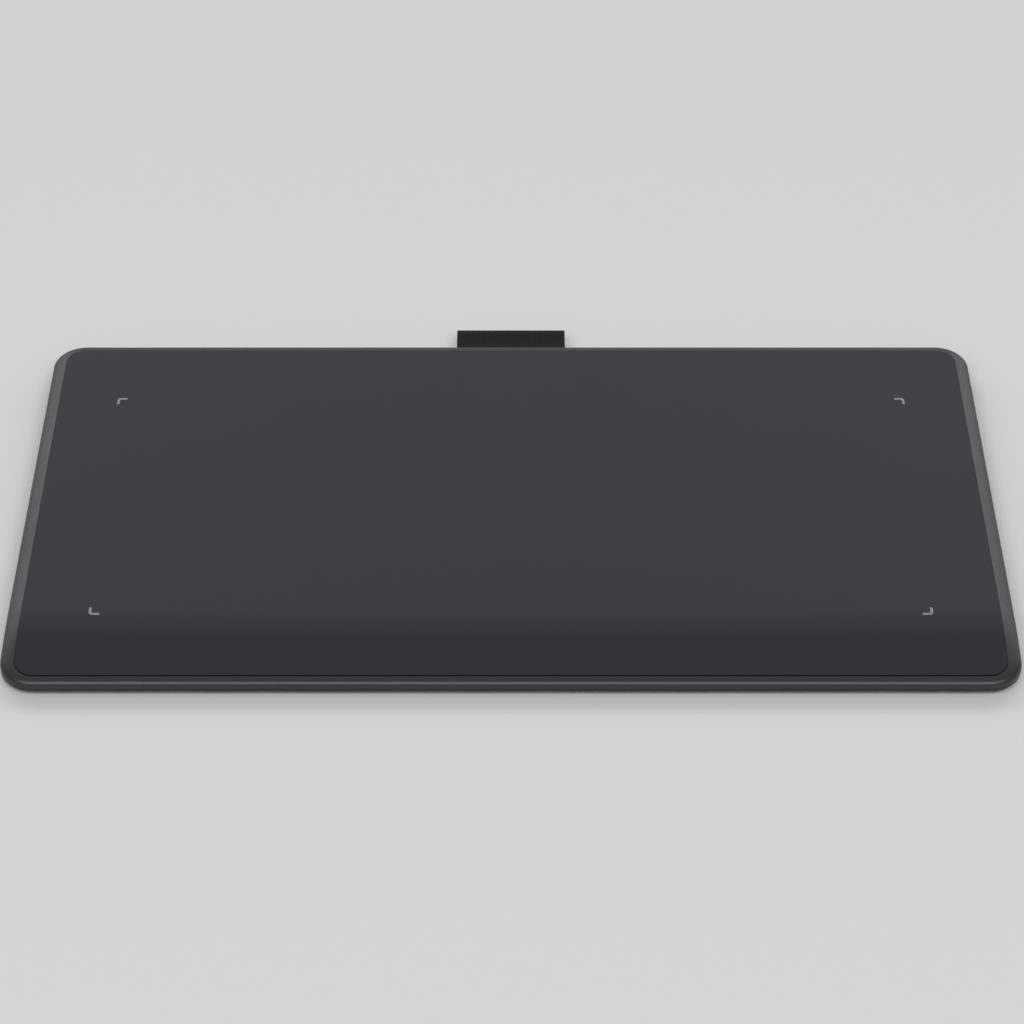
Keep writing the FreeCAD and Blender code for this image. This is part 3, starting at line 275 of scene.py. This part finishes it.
for face in marks.data.polygons:
    across, along = abs(face.center.x), face.center.y
    reach = MARK_BACK.x if along > 0 else MARK_FRONT.x
    between_sides = across < reach - MARK_ARM
    between_ends = MARK_FRONT.y + MARK_ARM < along < MARK_BACK.y - MARK_ARM
    face.select = between_sides or between_ends
bpy.ops.object.mode_set(mode="EDIT")
bpy.ops.mesh.delete(type="FACE")
for cut in range(ARM_CUTS):
    cut_across(MARK_FRONT.y + MARK_ARM * cut / ARM_CUTS)
bpy.ops.object.mode_set(mode="OBJECT")
follow_sweep(marks, lift=INK_TOP)
ink_layer = marks.modifiers.new("ink", "SOLIDIFY")
ink_layer.thickness = INK_THICK
ink_layer.offset = -1
apply_modifier(marks, ink_layer)
coat(marks, grained_finish("light grey ink", (0.265, 0.27, 0.275), roughness=0.5, grain=0.15,
                           depth=0.002, mottle=0.06))
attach(marks, "case")

# Lower shell: the second moulding, coarser in grain because it faces the desk, with a shallow
# bevel round the underside and recesses for feet and screws.
base_finish = grained_finish("grained base plastic", (0.026, 0.0265, 0.028), roughness=0.5, grain=0.5,
                             depth=0.012)
moulded("bottom_case", "lower_shell", "case", base_finish)

# Rubber feet: four die-moulded strips pressed into the recesses of the lower shell. The rubber is
# dull and slightly dusty.
rubber = grained_finish("dusty rubber", (0.018, 0.018, 0.018), roughness=0.78, grain=0.3, depth=0.01,
                        mottle=0.25, specular=0.3)
moulded("rubber_feet", "feet", "case", rubber)

# Screws: blackened steel, cold-headed with cross recesses. The case screws are sunk in the lower
# shell, the others hold the main board and the clamp bar. They keep their CAD shapes.
screw_steel = grained_finish("blackened steel", (0.09, 0.09, 0.095), roughness=0.38, grain=0.2,
                             depth=0.002, metallic=1.0)
for node in ("long_screws", "short_screws", "board_screws", "clamp_screws"):
    coat(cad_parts[node], screw_steel)

# Ribbon tag: a strip of woven polyester, folded once, its two ends clamped inside the back wall. It
# is drawn in at the corners of the fold, and the two layers come together and part again on the way.
low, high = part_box("tag")
middle = (low.z + high.z) / 2
LAYER_THICK = 0.6 * MM
SIDE_GAP = 0.1 * MM
TAG_HALF = (high.x - low.x) / 2 - SIDE_GAP
TAG_COLUMNS = 36
FOLD_RUN = 19.91 * MM
FOLD_RADIUS = 0.34 * MM
FOLD_STEPS = 12
CORNER_IN = 0.35 * MM
# Along a layer, in mm: the distance from the clamped end and half the distance between the layers.
LAYER_POINTS = (
    (0.05, 0.45), (3.1, 0.45), (6.1, 0.45), (9.0, 0.43), (11.5, 0.38), (14.0, 0.335), (16.0, 0.37),
    (17.0, 0.42), (17.7, 0.447), (18.3, 0.45), (18.8, 0.44), (19.3, 0.415), (19.7, 0.375))
lower_layer = [(low.y + run * MM, middle - rise * MM, 0.0) for run, rise in LAYER_POINTS]
fold = []
for step in range(FOLD_STEPS + 1):
    turn = math.pi * step / FOLD_STEPS
    y = low.y + FOLD_RUN + FOLD_RADIUS * math.sin(turn)
    z = middle - FOLD_RADIUS * math.cos(turn)
    fold.append((y, z, CORNER_IN * math.sin(turn)))
upper_layer = [(y, 2 * middle - z, narrow) for y, z, narrow in reversed(lower_layer)]
path = lower_layer + fold + upper_layer
bpy.ops.object.select_all(action="DESELECT")
bpy.ops.mesh.primitive_grid_add(x_subdivisions=TAG_COLUMNS, y_subdivisions=len(path) - 1, size=1)
ribbon = bpy.context.object
ribbon.name = "tag_ribbon"
for vertex in ribbon.data.vertices:
    y, z, narrow = path[round((vertex.co.y + 0.5) * (len(path) - 1))]
    vertex.co = (2 * vertex.co.x * (TAG_HALF - narrow), y, z)
weave_thickness = ribbon.modifiers.new("weave thickness", "SOLIDIFY")
weave_thickness.thickness = LAYER_THICK
weave_thickness.offset = 0
apply_modifier(ribbon, weave_thickness)
soften(ribbon, degrees=60)
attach(ribbon, "case")
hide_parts("tag")

WARP_SCALE = 420
WEFT_SCALE = 700
THREAD_DEPTH = 0.06 * MM
weave = bpy.data.materials.new("woven ribbon")
weave.use_nodes = True
tree = weave.node_tree
shader = tree.nodes["Principled BSDF"]
shader.inputs["Roughness"].default_value = 0.6
shader.inputs["Specular IOR Level"].default_value = 0.16
shader.inputs["Sheen Weight"].default_value = 0.5
shader.inputs["Sheen Roughness"].default_value = 0.25
place = tree.nodes.new("ShaderNodeTexCoord")
cross = tree.nodes.new("ShaderNodeMath")
cross.operation = "MULTIPLY"
for socket, (direction, scale) in enumerate((("X", WARP_SCALE), ("Y", WEFT_SCALE))):
    threads = tree.nodes.new("ShaderNodeTexWave")
    threads.wave_type = "BANDS"
    threads.bands_direction = direction
    threads.inputs["Scale"].default_value = scale
    tree.links.new(place.outputs["Object"], threads.inputs["Vector"])
    tree.links.new(threads.outputs["Fac"], cross.inputs[socket])
yarn = tree.nodes.new("ShaderNodeValToRGB")
yarn.color_ramp.elements[0].color = (0.004, 0.004, 0.0044, 1)
yarn.color_ramp.elements[1].color = (0.014, 0.014, 0.0148, 1)
tree.links.new(cross.outputs["Value"], yarn.inputs["Fac"])
tree.links.new(yarn.outputs["Color"], shader.inputs["Base Color"])
bump = tree.nodes.new("ShaderNodeBump")
bump.inputs["Distance"].default_value = THREAD_DEPTH
bump.inputs["Strength"].default_value = 0.8
tree.links.new(cross.outputs["Value"], bump.inputs["Height"])
tree.links.new(bump.outputs["Normal"], shader.inputs["Normal"])
coat(ribbon, weave)

# Clamp bar: a plain moulding of the base plastic, screwed down inside the back wall, that holds
# the ribbon's two ends. It keeps its CAD shape.
coat(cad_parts["tag_clamp"], base_finish)

# Socket: a shell drawn from stainless strip round a black insulating tongue, in the back wall. It
# is the inlet for charging and data.
socket_steel = grained_finish("stainless shell", (0.55, 0.55, 0.56), roughness=0.28, grain=0.4,
                              depth=0.002, metallic=1.0)
moulded("socket_shell", "socket_sleeve", "case", socket_steel)
insulator = grained_finish("black insulator", (0.02, 0.02, 0.021), roughness=0.45, grain=0.3,
                           depth=0.003)
moulded("socket_tongue", "socket_blade", "case", insulator)

# Power button and status light: a small satin cap that slides in the back wall, and beside it the
# frosted end of the light guide.
button_finish = grained_finish("satin button plastic", (0.04, 0.0405, 0.042), roughness=0.34,
                               grain=0.35, depth=0.004)
moulded("power_button", "button_cap", "power_button", button_finish)
lens = grained_finish("frosted light guide", (0.62, 0.64, 0.66), roughness=0.3, grain=0.4, depth=0.003)
moulded("light_guide", "light_lens", "case", lens)

# Inside: boards, chips, cell, cable and adhesive sheets. The case closes them in, so they keep
# their CAD shapes and carry plain finishes.
solder_mask = grained_finish("green solder mask", (0.02, 0.12, 0.06), roughness=0.4, grain=0.6,
                             depth=0.004)
chip_resin = grained_finish("chip resin", (0.02, 0.02, 0.022), roughness=0.6, grain=0.2, depth=0.003)
can_metal = grained_finish("tinned can", (0.6, 0.61, 0.62), roughness=0.35, grain=0.5, depth=0.003,
                           metallic=1.0)
nylon = grained_finish("cream connector nylon", (0.62, 0.59, 0.5), roughness=0.5, grain=0.3,
                       depth=0.003)
film = grained_finish("amber film", (0.4, 0.16, 0.03), roughness=0.35, grain=0.5, depth=0.002)
foil = grained_finish("pouch foil", (0.6, 0.61, 0.63), roughness=0.4, grain=1.2, depth=0.02,
                      metallic=1.0)
glue = grained_finish("adhesive film", (0.55, 0.54, 0.5), roughness=0.6, grain=0.5, depth=0.003)
insulation = grained_finish("red insulation", (0.35, 0.02, 0.02), roughness=0.45, grain=0.4,
                            depth=0.003)
INNER = {
    "sensor_board": solder_mask, "main_board": solder_mask, "wireless_module": solder_mask,
    "controller_chip": chip_resin, "power_chip": chip_resin, "inductor": chip_resin,
    "switch_body": nylon, "switch_plunger": insulator, "status_led": nylon,
    "crystal": can_metal, "module_can": can_metal, "shield_sheet": can_metal,
    "battery_header": nylon, "battery_plug": nylon, "sensor_connector": nylon,
    "board_connector": nylon, "ribbon_cable": film, "battery": foil, "battery_tape": glue,
    "sensor_tape": glue, "battery_leads": insulation}
for node, finish in INNER.items():
    coat(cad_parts[node], finish)

# Floor and light: a plain pale sheet, a broad soft box behind the tablet, a smaller one behind each
# back corner for the side rims, and one high in front that draws the line of light along the lip.
FLOOR_SIZE = 24
ROOM_LIGHT = 0.25
floor_paint = bpy.data.materials.new("pale floor")
floor_paint.use_nodes = True
floor_shader = floor_paint.node_tree.nodes["Principled BSDF"]
floor_shader.inputs["Base Color"].default_value = (0.78, 0.78, 0.79, 1)
floor_shader.inputs["Roughness"].default_value = 0.9
floor_shader.inputs["Specular IOR Level"].default_value = 0.1
bpy.ops.object.select_all(action="DESELECT")
bpy.ops.mesh.primitive_plane_add(size=FLOOR_SIZE, location=(0, 0, 0))
floor = bpy.context.object
floor.name = "floor"
coat(floor, floor_paint)

world = bpy.data.worlds.new("room")
bpy.context.scene.world = world
world.use_nodes = True
world.node_tree.nodes["Background"].inputs["Color"].default_value = (1, 1, 1, 1)
world.node_tree.nodes["Background"].inputs["Strength"].default_value = ROOM_LIGHT


def soft_box(name, place, aim, width, height, power):
    """A rectangular soft light at place that faces aim, in metres and watts."""
    light = bpy.data.lights.new(name, "AREA")
    light.shape = "RECTANGLE"
    light.size = width
    light.size_y = height
    light.energy = power
    lamp = bpy.data.objects.new(name, light)
    bpy.context.collection.objects.link(lamp)
    lamp.visible_camera = False
    lamp.location = place
    lamp.rotation_euler = (Vector(aim) - Vector(place)).to_track_quat("-Z", "Y").to_euler()


soft_box("back box", place=(0, 4.0, 3.1), aim=(0, 0, 0), width=7.2, height=1.5, power=69.5)
soft_box("left box", place=(-2.7, 3.2, 1.5), aim=(0, 0, 0), width=3.6, height=1.9, power=16.5)
soft_box("right box", place=(2.7, 3.2, 1.5), aim=(0, 0, 0), width=3.6, height=1.9, power=16.5)
soft_box("front box", place=(0, -2.64, 3.54), aim=(0, -0.08, 0), width=6.0, height=2.1, power=129)

# Camera: about forty degrees above the desk, in front of the tablet, with a long lens. Its place
# and lens were fitted to the photograph's outline and marks.
PHOTO_SIZE = 1024
SENSOR = 36
PITCH = math.radians(40)
DISTANCE = 951.5 * MM
FOCAL_PIXELS = 3063.5
AIM_ROW = 502.08
AIM_COLUMN = 510.9
AIM_POINT = Vector((0, -6, 7.2)) * MM
camera_data = bpy.data.cameras.new("camera")
camera = bpy.data.objects.new("camera", camera_data)
bpy.context.collection.objects.link(camera)
camera.location = AIM_POINT + Vector((0, -math.cos(PITCH), math.sin(PITCH))) * DISTANCE
camera.rotation_euler = (math.pi / 2 - PITCH, 0, 0)
camera_data.sensor_width = SENSOR
camera_data.lens = FOCAL_PIXELS * SENSOR / PHOTO_SIZE
camera_data.shift_x = (PHOTO_SIZE / 2 - AIM_COLUMN) / PHOTO_SIZE
camera_data.shift_y = (AIM_ROW - PHOTO_SIZE / 2) / PHOTO_SIZE
camera_data.clip_start = 0.01
camera_data.clip_end = 50
bpy.context.scene.camera = camera
bpy.context.scene.view_settings.view_transform = "Standard"
